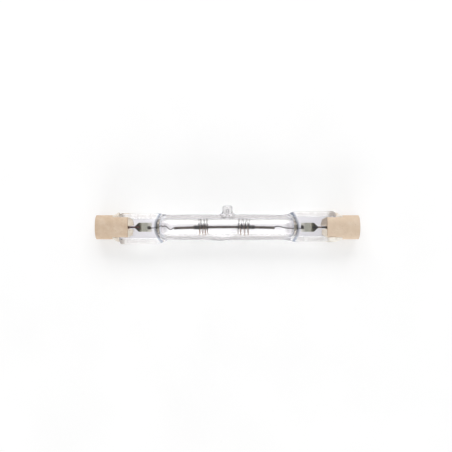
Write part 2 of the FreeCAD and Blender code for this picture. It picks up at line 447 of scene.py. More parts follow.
def in_mm(tree):
    """X, Y and Z of the point that is shaded, in millimetres."""
    scaled = node(tree, "ShaderNodeVectorMath", {"operation": "SCALE"}, Scale=1 / MM)
    tree.links.new(object_place(tree), scaled.inputs[0])
    parts = amounts(tree, node(tree, "ShaderNodeSeparateXYZ", Vector=scaled))
    return parts["X"], parts["Y"], parts["Z"]


def length(first, *others):
    """Length of a line from its parts along the axes."""
    squares = first * first
    for part in others:
        squares = squares + part * part
    return squares.root()


def by_end(x, key):
    """One of an end's own lengths, picked by the half of the lamp that a point lies in."""
    return x.fade(-1.0, 1.0, ENDS["left"][key], ENDS["right"][key])


def rgb(red, green, blue):
    """Colour as the eye sees it, 0 to 255, in the linear numbers that nodes take."""
    linear = []
    for value in (red, green, blue):
        share = value / 255
        linear.append(share / 12.92 if share <= 0.04045 else ((share + 0.055) / 1.055) ** 2.4)
    return tuple(linear)


# Finishes: places and lengths in millimetres, sizes of noise in turns per metre


def fired_grain():
    """Mottling, fine specks and pitted bump of fired ceramic and cement, by place."""
    sizes = {"Cloud size": 600.0, "Speck size": 3000.0, "Speck share": 0.2, "Pit depth": 0.5}
    group, sizes, leave = node_group("fired_grain", "ShaderNodeTree", sizes, ["Cloud", "Specks", "Height"])
    place = object_place(group)
    cells = node(group, "ShaderNodeTexVoronoi", Vector=place, Scale=sizes["Speck size"])
    pick = amounts(group, node(group, "ShaderNodeSeparateColor", Color=cells.outputs["Color"]))["Red"]
    dot = Amount(group, cells.outputs["Distance"]).fall(0.15, 0.4)
    specks = pick.below(sizes["Speck share"]) * dot
    grain = mottle(group, place, sizes["Speck size"], 3.0)
    feed(group, leave.inputs["Cloud"], mottle(group, place, sizes["Cloud size"], 5.0, 0.6))
    feed(group, leave.inputs["Specks"], specks)
    feed(group, leave.inputs["Height"], grain - specks * sizes["Pit depth"])
    return group


def drawn_metal():
    """Scale and draw marks of lamp wire and foil: a patchy mask and a fine scratched height."""
    sizes = {"Patch size": 900.0, "Scratch size": 5000.0, "Scratch stretch": 0.1}
    group, sizes, leave = node_group("drawn_metal", "ShaderNodeTree", sizes, ["Patches", "Scratches"])
    place = object_place(group)
    parts = amounts(group, node(group, "ShaderNodeSeparateXYZ", Vector=place))
    along = parts["X"] * sizes["Scratch stretch"]
    drawn = node(group, "ShaderNodeCombineXYZ", X=along, Y=parts["Y"], Z=parts["Z"])
    feed(group, leave.inputs["Patches"], mottle(group, place, sizes["Patch size"], 4.0))
    feed(group, leave.inputs["Scratches"], mottle(group, drawn, sizes["Scratch size"], 3.0))
    return group


GRAIN = fired_grain()
DRAWN = drawn_metal()


def new_material(name):
    material = bpy.data.materials.new(name)
    material.use_nodes = True
    tree = material.node_tree
    return material, tree, tree.nodes["Principled BSDF"]


def placed(tree, group, *sizes):
    """One of the shared groups in a material, its inputs set in their order."""
    made = tree.nodes.new("ShaderNodeGroup")
    made.node_tree = group
    for socket, size in zip(made.inputs, sizes):
        socket.default_value = size
    return amounts(tree, made)


def dress(tree, shader, values, height, strength, depth):
    """Feeds the shader's sockets, and bumps its surface by a height."""
    for label, value in values.items():
        feed(tree, shader.inputs[label], value)
    made = node(tree, "ShaderNodeBump", Strength=strength, Distance=depth * MM, Height=height)
    feed(tree, shader.inputs["Normal"], made)


def steatite_finish():
    """Fired ceramic with few specks, a little paler to the right."""
    material, tree, shader = new_material("steatite")
    grain = placed(tree, GRAIN, 500.0, 2600.0, 0.1, 0.8)
    clouds = [(0.3, rgb(208, 183, 156)), (0.5, rgb(217, 193, 168)), (0.7, rgb(226, 206, 184))]
    colour = ramp(tree, grain["Cloud"], clouds)
    x, _, _ = in_mm(tree)
    colour = mix_colour(tree, x.fade(0.0, 30.0, 0.0, 0.4), colour, rgb(236, 216, 194))
    colour = mix_colour(tree, grain["Specks"] * 0.35, colour, rgb(168, 132, 98))
    roughness = grain["Cloud"].fade(0.3, 0.7, 0.62, 0.78)
    values = {"Base Color": colour, "Roughness": roughness, "Specular IOR Level": 0.35}
    dress(tree, shader, values, grain["Height"], 0.35, 0.06)
    return material


def cement_finish():
    """Pale gritty cement, greyed by painted shade beside the right-hand lead on the tip's side, and whitened
    by painted light on the drip.
    """
    material, tree, shader = new_material("cement")
    grain = placed(tree, GRAIN, 900.0, 4200.0, 0.3, 1.0)
    clouds = [(0.3, rgb(226, 212, 194)), (0.5, rgb(240, 230, 217)), (0.7, rgb(248, 243, 235))]
    colour = ramp(tree, grain["Cloud"], clouds)
    x, y, _ = in_mm(tree)
    # Painted shade: the cement beside the right-hand lead on the tip's side is greyed where it lies in shade.
    painted_shade_by_lead = x.fall(29.8, 30.5) * y.rise(0.0, 0.8) * x.fade(0.0, 10.0, 0.0, 0.85)
    colour = mix_colour(tree, painted_shade_by_lead, colour, rgb(172, 158, 147))
    # Painted light: the drip is whitened against the cap's shadow that falls on it.
    drip = x.rise(29.2, 29.8) * y.fall(-2.8, -2.2)
    colour = mix_colour(tree, drip, colour, rgb(255, 250, 241))
    colour = mix_colour(tree, grain["Specks"] * 0.3, colour, rgb(196, 170, 138))
    values = {"Base Color": colour, "Roughness": grain["Cloud"].fade(0.3, 0.7, 0.7, 0.9)}
    dress(tree, shader, values, grain["Height"], 0.6, 0.1)
    return material


def tube_painted_shade(tree, facing, y, z):
    """Round tube: painted shade greys it where the wall is seen edge on, less on the bore's wall, and a light
    painted shade lies along the axis.
    """
    # Painted shade: the wall greys as it turns edge on.
    slopes = [
        (0.0, (0.975, 0.972, 0.98)),
        (0.1, (0.94, 0.935, 0.945)),
        (0.2, (0.83, 0.82, 0.825)),
        (0.28, (0.69, 0.67, 0.675)),
        (0.38, (0.5, 0.48, 0.485)),
        (0.5, (0.39, 0.37, 0.38)),
        (0.75, (0.42, 0.42, 0.45)),
        (1.0, (0.7, 0.72, 0.77)),
    ]
    bore = length(y, z).fade(2.8, 3.3, 0.35, 0.0)
    colour = mix_colour(tree, bore, ramp(tree, facing, slopes), (0.96, 0.955, 0.965))
    # Painted shade along the axis, where the coil's shadow on the table shows through the glass.
    return mix_colour(tree, abs(y).fall(0.0, 2.0), colour, (0.84, 0.83, 0.845))


def pinch_tint_and_shade(tree, lumps, x, y):
    """Pressed plate: mottled rails that painted shade darkens at the nose, but not under the drip, and a
    violet web greyed by painted shade.
    """
    rail = ramp(tree, lumps, [(0.35, (0.76, 0.74, 0.74)), (0.6, (0.89, 0.88, 0.88))])
    nose_inset = x.fade(-1.0, 1.0, 0.7, 0.0)
    under_drip = x.above(0.0) * y.below(0.0)
    # Painted shade: the rails darken at the nose, where they run in between the cap's tongues.
    nose = (abs(x) - nose_inset).rise(29.6, 30.8) * under_drip.fall(0.0, 1.0)
    rail = mix_colour(tree, nose, rail, (0.5, 0.46, 0.43))
    # The web's violet-grey is a violet tint together with painted shade of the shadowed table seen through
    # it.
    web = abs(y - by_end(x, "shift")).fall(2.9, 3.4)
    return mix_colour(tree, web, rail, (0.71, 0.7, 0.74))


def rim_reflection_and_crease_shade(tree, colour, x, y):
    """The two bowed lines across the shoulder: a bluish rim of painted reflection, strongest at one corner,
    and a dark crease of painted shade.
    """
    off_middle = y - by_end(x, "rim_middle")
    bowed = abs(x) + by_end(x, "rim_inset") + off_middle * off_middle * RIM_BOW
    corner = abs(y).rise(2.2, 3.6)
    right_top = x.rise(0.0, 1.0) * y.rise(0.0, 1.0)
    # Painted reflection: the rim is a bluish line, bluer and darker towards the corners.
    corner_painted_reflection = mix_colour(tree, right_top, (0.22, 0.26, 0.36), (0.1, 0.13, 0.2))
    rim_painted_reflection = mix_colour(tree, corner, (0.29, 0.3, 0.34), corner_painted_reflection)
    off_rim = abs(bowed - RIM_LINE) * (right_top * corner).fade(0.0, 1.0, 1.0, 0.6)
    colour = mix_colour(tree, off_rim.fade(0.1, 0.6, 0.9, 0.0), colour, rim_painted_reflection)
    # Painted shade: the crease is a dark line, fainter towards the edges.
    crease = abs(bowed - CREASE_LINE).fall(0.1, 0.44)
    crease = crease * abs(y).fade(0.5, 2.0, 1.0, 0.72) * abs(y).fall(2.8, 3.5)
    return mix_colour(tree, crease, colour, (0.03, 0.032, 0.042))


def tip_mottle_and_edge_shade(tree, facing, lumps):
    """Mottled grey glass of the sealed-off tip, with painted shade darkening its outline."""
    clouds = [(0.35, (0.56, 0.55, 0.555)), (0.5, (0.67, 0.66, 0.665)), (0.65, (0.78, 0.77, 0.775))]
    # Painted shade darkens the tip's outline.
    outline = [(0.0, WHITE), (0.25, (0.95, 0.95, 0.96)), (0.65, (0.6, 0.6, 0.64))]
    return mix_colour(tree, 1.0, ramp(tree, lumps, clouds), ramp(tree, facing, outline), "MULTIPLY")


def quartz_finish():
    """Clear fused silica, tinted by place with painted shade and painted reflection: tube, shoulder, pressed
    plate, the shoulder's lines and the tip.

    Light that has scattered takes no tint, and light trapped in the wall is let out by roughness.
    """
    material, tree, shader = new_material("quartz")
    shader.inputs["Transmission Weight"].default_value = 1.0
    shader.inputs["IOR"].default_value = 1.458
    path = amounts(tree, node(tree, "ShaderNodeLightPath"))
    facing = node(tree, "ShaderNodeLayerWeight", Blend=0.5).outputs["Facing"]
    place = object_place(tree)
    lumps = mottle(tree, place, 1500.0, 3.0)
    x, y, z = in_mm(tree)
    # Painted shade: the shoulder greys where it is seen edge on. The shoulder and plate are also a little
    # darker at the right-hand end.
    slopes = [
        (0.0, (0.89, 0.885, 0.895)),
        (0.2, (0.84, 0.835, 0.85)),
        (0.45, (0.69, 0.7, 0.75)),
        (0.8, (0.6, 0.64, 0.72)),
        (1.0, (0.7, 0.74, 0.8)),
    ]
    dimmer = x.fade(-1.0, 1.0, 1.0, 0.91)
    shoulder = mix_colour(tree, 1.0, ramp(tree, facing, slopes), dimmer, "MULTIPLY")
    pressed = mix_colour(tree, 1.0, pinch_tint_and_shade(tree, lumps, x, y), dimmer, "MULTIPLY")
    out = abs(x) + by_end(x, "early")
    shoulder_out = out + y * y * EDGE_LEAD
    colour = mix_colour(tree, shoulder_out.rise(18.7, 19.4), tube_painted_shade(tree, facing, y, z), shoulder)
    # Painted shade at the wedge-shaped ends of the bore, close to the axis.
    core_end_shade = out.rise(17.0, 19.1) * out.fall(19.3, 19.8) * abs(y).fall(1.2, 2.1)
    colour = mix_colour(tree, core_end_shade, colour, (0.71, 0.695, 0.713))
    colour = mix_colour(tree, out.rise(20.8, 21.6), colour, pressed)
    colour = rim_reflection_and_crease_shade(tree, colour, x, y)
    tip = length(x, y - TIP_NECK, z).fall(1.9, 3.0)
    colour = mix_colour(tree, tip, colour, tip_mottle_and_edge_shade(tree, facing, lumps))
    colour = mix_colour(tree, path["Diffuse Depth"].smaller(1.0), colour, WHITE)
    melt = tip * lumps
    stray = path["Ray Depth"].fade(TRAPPED_DEPTH - 1, TRAPPED_DEPTH, 0.0, STRAY_ROUGHNESS)
    values = {"Base Color": colour, "Roughness": melt.fade(0.2, 0.7, 0.0, 0.12).larger(stray)}
    dress(tree, shader, values, mottle(tree, place, 260.0, 2.0) * 0.01 + melt, 0.5, 0.1)
    return material


def tungsten_finish(name, dark, middle, light, outer, outer_tip_side_shade):
    """Dull drawn tungsten, patchy between three tints; other tints well off the axis, darker on the tip's
    side as painted shade, and dark legs.
    """
    material, tree, shader = new_material(name)
    metal = placed(tree, DRAWN, 1400.0, 9000.0, 0.3)
    colour = ramp(tree, metal["Patches"], [(0.3, dark), (0.5, middle), (0.72, light)])
    x, y, z = in_mm(tree)
    # Painted shade: the wire well off the axis is darker on the tip's side, where the key light catches it.
    outer = mix_colour(tree, y.rise(-0.5, 1.0), outer, outer_tip_side_shade)
    colour = mix_colour(tree, length(y, z).rise(1.3, 1.8), colour, outer)
    legs = x.fall(COIL_START - 0.3, COIL_START).larger(x.rise(COIL_STOP, COIL_STOP + 0.3))
    colour = mix_colour(tree, legs, colour, rgb(34, 22, 18))
    roughness = metal["Scratches"].fade(0.3, 0.7, 0.38, 0.6)
    values = {"Base Color": colour, "Metallic": 0.85, "Roughness": roughness}
    dress(tree, shader, values, metal["Scratches"], 0.3, 0.02)
    return material


def foil_finish(name, weld):
    """Molybdenum foil: pale at the inner end round a burnt weld, grey along the body, dark at the taper."""
    material, tree, shader = new_material(name)
    uv = node(tree, "ShaderNodeUVMap", {"uv_map": "along"})
    parts = amounts(tree, node(tree, "ShaderNodeSeparateXYZ", Vector=uv))
    metal = placed(tree, DRAWN, 1500.0, 2600.0, 2.5)
    stray = (metal["Patches"] - 0.5) * 0.12
    tints = [
        (0.0, rgb(236, 234, 226)),
        (0.16, rgb(222, 221, 210)),
        (0.3, rgb(184, 184, 170)),
        (0.58, rgb(194, 193, 178)),
        (0.68, rgb(112, 110, 88)),
        (0.76, rgb(56, 52, 34)),
        (1.0, rgb(26, 22, 15)),
    ]
    streaks = metal["Scratches"].fade(0.35, 0.65, 0.78, 1.1)
    colour = mix_colour(tree, 1.0, ramp(tree, parts["X"] + stray, tints), streaks, "MULTIPLY")
    along = parts["X"] * FOIL_LENGTH - weld[0]
    across = parts["Y"] * (2 * FOIL_HALF) - (weld[1] + FOIL_HALF)
    off_weld = length(along, across) + stray * 4.0
    colour = mix_colour(tree, off_weld.fade(0.4, 0.72, 0.95, 0.0), colour, rgb(34, 28, 22))
    roughness = metal["Scratches"].fade(0.3, 0.7, 0.4, 0.62)
    values = {"Base Color": colour, "Metallic": 0.35, "Roughness": roughness}
    dress(tree, shader, values, metal["Scratches"], 0.4, 0.05)
    return material


def lead_finish(name, tint):
    """Molybdenum lead, blackened where it left the seal hot; the right-hand one has a bare stretch."""
    material, tree, shader = new_material(name)
    metal = placed(tree, DRAWN, 1300.0, 6000.0, 0.1)
    colour = ramp(tree, metal["Patches"], [(0.35, rgb(26, 22, 20)), (0.52, tint), (0.7, rgb(60, 54, 50))])
    x, _, _ = in_mm(tree)
    bare = x.rise(26.9, 27.2) * x.fall(27.8, 28.3)
    colour = mix_colour(tree, bare, colour, rgb(132, 116, 100))
    roughness = metal["Scratches"].fade(0.3, 0.7, 0.35, 0.6)
    values = {"Base Color": colour, "Metallic": 0.6, "Roughness": roughness}
    dress(tree, shader, values, metal["Scratches"], 0.3, 0.03)
    return material


def contact_finish():
    """Plated contact button: turning rings, with a spring's rub mark in the middle."""
    material, tree, shader = new_material("contact")
    metal = placed(tree, DRAWN, 1200.0, 4000.0, 1.0)
    colour = ramp(tree, metal["Patches"], [(0.3, rgb(164, 156, 142)), (0.7, rgb(206, 202, 194))])
    _, y, z = in_mm(tree)
    out = length(y, z)
    colour = mix_colour(tree, out.fall(0.3, 0.9), colour, rgb(150, 132, 110))
    roughness = metal["Scratches"].fade(0.3, 0.7, 0.25, 0.42)
    values = {"Base Color": colour, "Metallic": 1.0, "Roughness": roughness}
    dress(tree, shader, values, (out * 52.0).sine(), 0.15, 0.02)
    return material


QUARTZ = quartz_finish()
STEATITE = steatite_finish()
CEMENT = cement_finish()
COIL_TUNGSTEN = tungsten_finish(
    "coil_tungsten", rgb(58, 48, 42), rgb(88, 76, 68), rgb(126, 113, 104), rgb(88, 76, 68), rgb(88, 76, 68)
)
# The last colour is painted shade for the loops on the tip's side.
GRIP_TUNGSTEN = tungsten_finish(
    "grip_tungsten", rgb(14, 11, 10), rgb(24, 19, 16), rgb(44, 37, 32), rgb(136, 104, 76), rgb(62, 44, 32)
)
FOIL = {name: foil_finish(name + "_foil", end["weld"]) for name, end in ENDS.items()}
LEAD = {name: lead_finish(name + "_lead", rgb(*end["lead_tint"])) for name, end in ENDS.items()}
CONTACT = contact_finish()


# Quartz envelope


def end_stations():
    """Places of the sections from the tip's patch to the nose of the right pinch, closest at the shoulder."""
    stations = between(4.0, 15.2, 14) + between(15.6, 18.4, 10) + between(18.5, 22.2, 40)
    stations += between(22.6, PINCH_END - CORNER_ROUND, 14)
    return stations + [PINCH_END - CORNER_ROUND * (1 - sine) for sine, _ in quarter_turn(10)[1:]]


def plate_edge(x, shift, early):
    """How far the glass reaches to one side: the tube, then the flare, the pinch and its round corner."""
    edge = FLARE_ROOT + (shift + PINCH_HALF - FLARE_ROOT) * smooth_step(FLARE_START, WALL_PLANE, x + early)
    if x + early < WALL_PLANE:
        return soft_max(TUBE_RADIUS, edge, TUBE_BLEND)
    past = max(x - (PINCH_END - CORNER_ROUND), 0.0)
    return edge - CORNER_ROUND + math.sqrt(max(CORNER_ROUND**2 - past**2, 0.0))


def plate_height(inset, x, early):
    """Half thickness of the pressed plate at a distance in from its edge."""
    height = RAIL_HALF
    if inset < RAIL_ROUND:
        height += math.sqrt(max(RAIL_ROUND**2 - (RAIL_ROUND - inset) ** 2, 0.0)) - RAIL_ROUND
    height -= (RAIL_HALF - WEB_HALF) * smooth_step(RAIL_BRIM, RAIL_FLOOR, inset)
    past = max(x - (PINCH_END - NOSE_ROUND), 0.0)
    height -= NOSE_ROUND - math.sqrt(max(NOSE_ROUND**2 - past**2, 0.0))
    return max(height, 0.0) * smooth_step(FLARE_START, WALL_PLANE, x + early)


# Angles round a section, closer together where the rails are
QUARTER = [math.radians(2 * step) for step in range(30)] + [math.radians(60 + 5 * step) for step in range(6)]
AROUND = QUARTER + [math.pi - angle for angle in [math.pi / 2] + QUARTER[:0:-1]]
AROUND = AROUND + [angle + math.pi for angle in AROUND]


def section(x, shift, early):
    """Ring of points round the glass: the tube over the plate, run down to the web behind a bowed line."""
    upper = plate_edge(x, shift, early)
    lower = plate_edge(x, -shift, early)
    middle = (upper - lower) / 2
    half = (upper + lower) / 2
    ring = []
    for angle in AROUND:
        y = middle + half * math.cos(angle)
        tube = math.sqrt(max(TUBE_RADIUS**2 - y**2, 0.0))
        plate = plate_height(min(upper - y, lower + y), x, early)
        both = (tube**6 + plate**6) ** (1 / 6)
        foot = SHOULDER_FOOT - early - SHOULDER_BOW * y**2
        height = plate + (both - plate) * (1 - smooth_step(foot - SHOULDER_FALL, foot, x))
        if abs(math.sin(angle)) < 1e-6:
            height = 0.0
        ring.append((y, math.copysign(height, math.sin(angle))))
    return ring


def hole_boundary(columns, rows):
    """Grid corners round a rectangular hole, once round, from rows and columns of point numbers."""
    loop = [row[columns[0]] for row in rows]
    loop += [rows[-1][column] for column in columns[1:]]
    loop += [row[columns[-1]] for row in reversed(rows[:-1])]
    loop += [rows[0][column] for column in columns[-2:0:-1]]
    return loop


def pierced(rings, start, stop, window):
    """Faces over a run of rings with a hole between two of them, and the points round the hole."""
    count = len(rings[0])
    faces = skin(rings[: start + 1]) + skin(rings[stop:])
    faces += skin(rings[start : stop + 1], range(window, count - window))
    columns = [place % count for place in range(-window, window + 1)]
    return faces, hole_boundary(columns, rings[start : stop + 1])


def patch(points, loop, radius, foot, profile, fillet):
    """Fills a hole in a tube with rings that run to a circle, round a fillet and on up a profile.

    profile is (radius, height) pairs about the Y axis; the last pair closes on the axis.
    """
    spots = [(points[index][0], points[index][2]) for index in loop]
    angles = [math.atan2(z, x) for x, z in spots]
    rings = [loop]
    rows = []
    for share in (0.3, 0.6, 0.85, 1.0):
        row = []
        for (x, z), angle in zip(spots, angles):
            reach = math.hypot(x, z) * (1 - share) + foot * share
            x, z = reach * math.cos(angle), reach * math.sin(angle)
            row.append((x, math.sqrt(radius**2 - z**2), z))
        rows.append(row)
    neck, neck_height = profile[0]
    for step in range(1, fillet + 1):
        share = step / fillet
        row = []
        for angle in angles:
            foot_height = math.sqrt(radius**2 - (foot * math.sin(angle)) ** 2)
            knee_height = math.sqrt(radius**2 - (neck * math.sin(angle)) ** 2)
            weights = ((1 - share) ** 2, 2 * share * (1 - share), share**2)
            reach = weights[0] * foot + weights[1] * neck + weights[2] * neck
            height = weights[0] * foot_height + weights[1] * knee_height + weights[2] * neck_height
            row.append((reach * math.cos(angle), height, reach * math.sin(angle)))
        rows.append(row)
    for reach, height in profile[1:-1]:
        rows.append([(reach * math.cos(angle), height, reach * math.sin(angle)) for angle in angles])
    rings += [add_ring(points, row) for row in rows]
    points.append((0.0, profile[-1][1], 0.0))
    return skin(rings) + fan(rings[-1], len(points) - 1)


def waver(x, y, z):
    """Small unevenness of hand-worked tube: slow waves, and the sag across from the tip."""
    spot = Vector((x * 0.16, y * 0.2, z * 0.2))
    swell = WAVER * noise.noise(spot)
    swell *= 1 - smooth_step(16.0, 22.0, abs(x))
    sag = SAG_DEPTH * math.exp(-(((x - SAG_PLACE) / SAG_REACH) ** 2)) * max(-y, 0.0) / TUBE_RADIUS
    return x, y * (1 + swell) - sag, z * (1 + min(swell, 0.0) * 0.3)


def lumpy_tip(x, y, z):
    """Unevenness of the glass where the exhaust stub was melted shut."""
    share = smooth_step(TIP_NECK - 0.6, TIP_NECK + 0.6, y)
    spot = Vector((x, y, z)) * 0.9
    push = TIP_LUMP * noise.noise(spot) * share
    rise = TIP_LUMP * noise.noise(spot * 1.3 + Vector((4, 9, 2))) * share
    return x * (1 + push), y + min(rise, TIP_LUMP), z * (1 + push)


def outer_glass():
    """Outside of the glass: both pinches, the tube between them and the tip."""
    half = end_stations()
    stations = [-x for x in reversed(half)]
    patch_start = len(stations)
    stations += between(-TIP_PATCH, TIP_PATCH, 16)
    patch_stop = len(stations) - 1
    stations += half
    points = []
    rings = []
    for x in stations:
        end = ENDS["left" if x < 0 else "right"]
        ring = section(abs(x), end["shift"], end["early"])
        rings.append(add_ring(points, [(x, y, z) for y, z in ring]))
    count = len(AROUND)
    faces, loop = pierced(rings, patch_start, patch_stop, TIP_WINDOW)
    for ring in (rings[0], rings[-1]):
        for place in range(count // 2):
            mirror, beside = (count - place) % count, (count - place - 1) % count
            corners = [ring[place], ring[place + 1], ring[beside], ring[mirror]]
            faces.append(tuple(dict.fromkeys(corners)))
    edge = TIP_RADIUS - TIP_ROUND
    profile = [(TIP_RADIUS, TIP_NECK)]
    profile += [(TIP_RADIUS, height) for height in between(TIP_NECK, TIP_BROW, 4)[1:]]
    for sine, cosine in quarter_turn(7)[1:]:
        profile.append((edge + TIP_ROUND * cosine, TIP_BROW + TIP_ROUND * sine))
    profile += [(edge * share, TIP_TOP) for share in (0.75, 0.5, 0.25)]
    faces += patch(points, loop, TUBE_RADIUS, TIP_FOOT, profile + [(0.0, TIP_TOP)], 8)
    points = [lumpy_tip(*waver(*point)) for point in points]
    work = new_bmesh(points, faces)
    bmesh.ops.recalc_face_normals(work, faces=work.faces)
    return work


def cavity_half(early):
    """Sections of the gas space from the tip's passage to one end: place, half width and half height."""
    taper = CAVITY_TAPER - early
    half = [(x, BORE_RADIUS, BORE_RADIUS) for x in between(2.0, taper, 22)]
    for share, _ in quarter_turn(24)[1:-1]:
        width = BORE_RADIUS * math.sqrt(1 - share**3)
        height = BORE_RADIUS * math.cos(math.pi / 2 * share)
        half.append((taper + (CAVITY_END - CAVITY_TAPER) * share, width, height))
    return half


def inner_glass():
    """Wall of the gas space, pressed to a wedge at both ends, and the passage left in the tip."""
    left_early, right_early = ENDS["left"]["early"], ENDS["right"]["early"]
    stations = [(-x, width, height) for x, width, height in reversed(cavity_half(left_early))]
    patch_start = len(stations)
    stations += [(x, BORE_RADIUS, BORE_RADIUS) for x in between(-PASSAGE_PATCH, PASSAGE_PATCH, 10)]
    patch_stop = len(stations) - 1
    stations += cavity_half(right_early)
    points = []
    rings = [add_ring(points, oval(*station, BORE_SIDES)) for station in stations]
    faces, loop = pierced(rings, patch_start, patch_stop, PASSAGE_WINDOW)
    for ring, x in ((rings[0], left_early - CAVITY_END), (rings[-1], CAVITY_END - right_early)):
        points.append((x, 0.0, 0.0))
        faces += fan(ring, len(points) - 1)
    profile = [(PASSAGE_RADIUS, PASSAGE_NECK)]
    for share in (0.25, 0.5, 0.75, 1.0):
        reach = PASSAGE_RADIUS + (PASSAGE_END_RADIUS - PASSAGE_RADIUS) * share
        profile.append((reach, PASSAGE_NECK + (PASSAGE_TOP - PASSAGE_NECK - 0.2) * share))
    profile += [(0.18, PASSAGE_TOP - 0.06), (0.0, PASSAGE_TOP)]
    faces += patch(points, loop, BORE_RADIUS, PASSAGE_FOOT, profile, 5)
    points = [waver(*point) for point in points]
    work = new_bmesh(points, faces)
    bmesh.ops.recalc_face_normals(work, faces=work.faces)
    bmesh.ops.reverse_faces(work, faces=work.faces)
    return work


def make_envelope():
    work = outer_glass()
    gas_side = bpy.data.meshes.new("gas_side")
    inner = inner_glass()
    inner.to_mesh(gas_side)
    inner.free()
    work.from_mesh(gas_side)
    bpy.data.meshes.remove(gas_side)
    return stand_for(as_piece("quartz_envelope_glass", work, QUARTZ), "quartz_envelope")


# Ceramic caps, contacts and cement


def make_cap(name, side):
    """Cap with its slot: rings of the outside, the stepped bore, the two tongues and the slot floor."""
    step_angle = 2.25
    count = round(360 / step_angle)
    chord = round(math.degrees(math.asin(SLOT_HALF / CAP_RADIUS)) / step_angle)
    points = []

    def ring(x, radius):
        return add_ring(points, oval(x * side, radius, radius, count))

    tongue = ring(CAP_INNER, CAP_RADIUS)
    floor = ring(SLOT_FLOOR, CAP_RADIUS)
    outside = [floor] + [ring(x, CAP_RADIUS) for x in CAP_RINGS]
    for sine, cosine in quarter_turn(6):
        x = CAP_END - CAP_EDGE_ROUND * (1 - sine)
        outside.append(ring(x, CAP_RADIUS - CAP_EDGE_ROUND * (1 - cosine)))
    for sine, cosine in quarter_turn(4):
        x = CAP_END - RECESS_LIP * (1 - cosine)
        outside.append(ring(x, RECESS_RADIUS + RECESS_LIP * (1 - sine)))
    for x, radius in (
        (CONTACT_FACE + 0.1, RECESS_RADIUS),
        (CONTACT_FACE, RECESS_RADIUS - 0.1),
        (CONTACT_FACE, SEAT_RADIUS),
        (CONTACT_BACK, SEAT_RADIUS),
        (CONTACT_BACK, LEAD_HOLE),
        (SLOT_FLOOR, LEAD_HOLE),
    ):
        outside.append(ring(x, radius))
    hole = outside[-1]
    faces = skin(outside)
    half = count // 2
    for start in (chord, half + chord):
        arc = [(start + step) % count for step in range(half - 2 * chord + 1)]
        for place, beside in zip(arc, arc[1:]):
            faces.append((tongue[place], tongue[beside], floor[beside], floor[place]))
        faces.append(tuple(tongue[place] for place in arc))
        faces.append((tongue[arc[0]], tongue[arc[-1]], floor[arc[-1]], floor[arc[0]]))
    for start in (0, half):
        rim = [(start + step) % count for step in range(chord + 1)]
        rim += [(start + step) % count for step in range(half - chord, half + 1)]
        inner = [(start + half - step) % count for step in range(half + 1)]
        faces.append(tuple([floor[place] for place in rim] + [hole[place] for place in inner]))
    work = new_bmesh(points, faces)
    loose = [vert for vert in work.verts if not vert.link_faces]
    bmesh.ops.delete(work, geom=loose, context="VERTS")
    bmesh.ops.recalc_face_normals(work, faces=work.faces)
    piece = as_piece(name + "_cap_ceramic", work, STEATITE)
    rounding = piece.modifiers.new("worn_edges", "BEVEL")
    rounding.width = WORN_EDGE * MM
    rounding.segments = 3
    rounding.limit_method = "ANGLE"
    rounding.angle_limit = math.radians(40)
    rounding.harden_normals = True
    settle(piece)
    return stand_for(piece, name + "_cap")


def settle(piece):
    """Replaces a piece's mesh by what its modifiers make of it, and removes them."""
    bpy.context.view_layer.update()
    graph = bpy.context.evaluated_depsgraph_get()
    made = piece.evaluated_get(graph)
    mesh = bpy.data.meshes.new_from_object(made, preserve_all_data_layers=True, depsgraph=graph)
    piece.modifiers.clear()
    old = piece.data
    piece.data = mesh
    mesh.name = piece.name
    bpy.data.meshes.remove(old)


def make_contact(name, side):
    """Contact button, slightly crowned, with the lead's socket behind."""
    profile = [
        (CONTACT_BACK, LEAD_RADIUS),
        (CONTACT_BACK, CONTACT_RADIUS - CONTACT_BEVEL),
        (CONTACT_BACK + CONTACT_BEVEL, CONTACT_RADIUS),
    ]
    for sine, cosine in quarter_turn(5):
        x = CONTACT_FACE - CONTACT_CROWN - CONTACT_RIM * (1 - sine)
        profile.append((x, CONTACT_RADIUS - CONTACT_RIM * (1 - cosine)))
    for share in (0.8, 0.6, 0.45, 0.35, 0.25, 0.12):
        dent = CONTACT_DENT * (1 - smooth_step(0.12, 0.4, share))
        profile.append((CONTACT_FACE - CONTACT_CROWN * share**2 - dent, CONTACT_RADIUS * share))
    profile.append((CONTACT_FACE - CONTACT_DENT, 0))
    points, faces = turned(profile, CONTACT_SIDES)
    socket = CONTACT_BACK + SOCKET_DEPTH
    base = len(points)
    hollow = [(CONTACT_BACK, LEAD_RADIUS), (socket, LEAD_RADIUS), (socket, 0)]
    more, more_faces = turned(hollow, CONTACT_SIDES)
    faces += [tuple(base + index for index in face) for face in more_faces]
    points = [(x * side, y, z) for x, y, z in points + more]
    work = new_bmesh(points, faces)
    bmesh.ops.remove_doubles(work, verts=work.verts, dist=1e-7)
    bmesh.ops.recalc_face_normals(work, faces=work.faces)
    return stand_for(as_piece(name + "_contact_button", work, CONTACT), name + "_contact")


def trim_block(side, x_low, x_high, y_low, y_high):
    """Upright block to be taken out of the cement."""
    work = bmesh.new()
    bmesh.ops.create_cube(work, size=1.0)
    for vert in work.verts:
        x = x_low if vert.co.x < 0 else x_high
        y = y_low if vert.co.y < 0 else y_high
        vert.co = (x * side * MM, y * MM, vert.co.z * 4 * CAP_RADIUS * MM)
    bmesh.ops.recalc_face_normals(work, faces=work.faces)
    return as_piece("trim_block", work, CEMENT)


